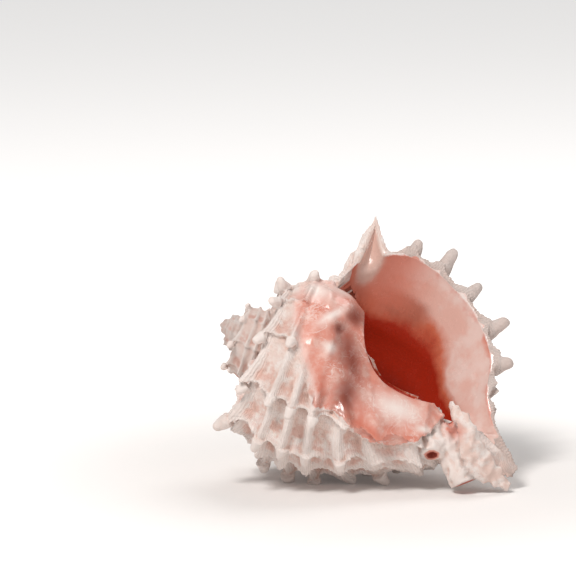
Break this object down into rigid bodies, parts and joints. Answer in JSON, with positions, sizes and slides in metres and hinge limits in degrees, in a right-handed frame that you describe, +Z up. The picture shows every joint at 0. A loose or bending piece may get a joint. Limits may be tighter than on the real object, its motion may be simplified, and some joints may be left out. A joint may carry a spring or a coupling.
{
  "type": "murex shell",
  "caption": "Spiny dextral sea-snail shell lying mouth forwards, with a wide flared mouth, a hollow last whorl, a folded canal and rows of short spines.",
  "frame": {"origin": "centre of the bounding box at the height of the surface the shell lies on", "axes": "+X to the canal's side, away from the apex; +Z up; -Y out of the mouth, towards the viewer"},
  "size_m": [0.101, 0.0738, 0.0841],
  "materials": {
    "shell": "chalky off-white outside with faint pink, glossy pink callus and mouth, deep red inside"
  },
  "bodies": {
    "root": {"murex_shell": "shell"}
  },
  "joints": []
}
